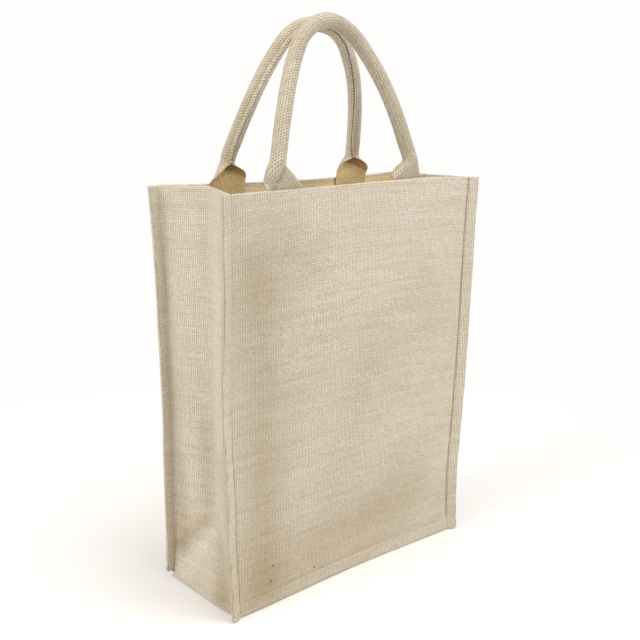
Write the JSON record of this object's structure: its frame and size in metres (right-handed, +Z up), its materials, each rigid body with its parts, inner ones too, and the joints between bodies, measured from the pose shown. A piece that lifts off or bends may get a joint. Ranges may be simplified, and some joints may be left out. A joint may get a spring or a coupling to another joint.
{
  "type": "jute tote bag",
  "caption": "Open-topped portrait tote bag of woven jute with inward-folded side gussets, turned-out seams and rolled webbing handles, standing upright and empty.",
  "frame": {"origin": "middle of the base's flat underside, on the floor", "axes": "+Z up to the rim and handles, +X along the front panel to its right, -Y out of the front panel"},
  "size_m": [0.3471, 0.1239, 0.5587],
  "materials": {
    "jute_cloth": "matt plain weave of pale undyed jute and cotton, slubby, with turned-out seams",
    "cotton_webbing": "matt pale cotton webbing with a fine diagonal weave, rolled round"
  },
  "bodies": {
    "root": {"front_panel": "jute_cloth", "back_panel": "jute_cloth", "gusset": "jute_cloth", "handle_front": "cotton_webbing", "handle_back": "cotton_webbing"}
  },
  "joints": []
}
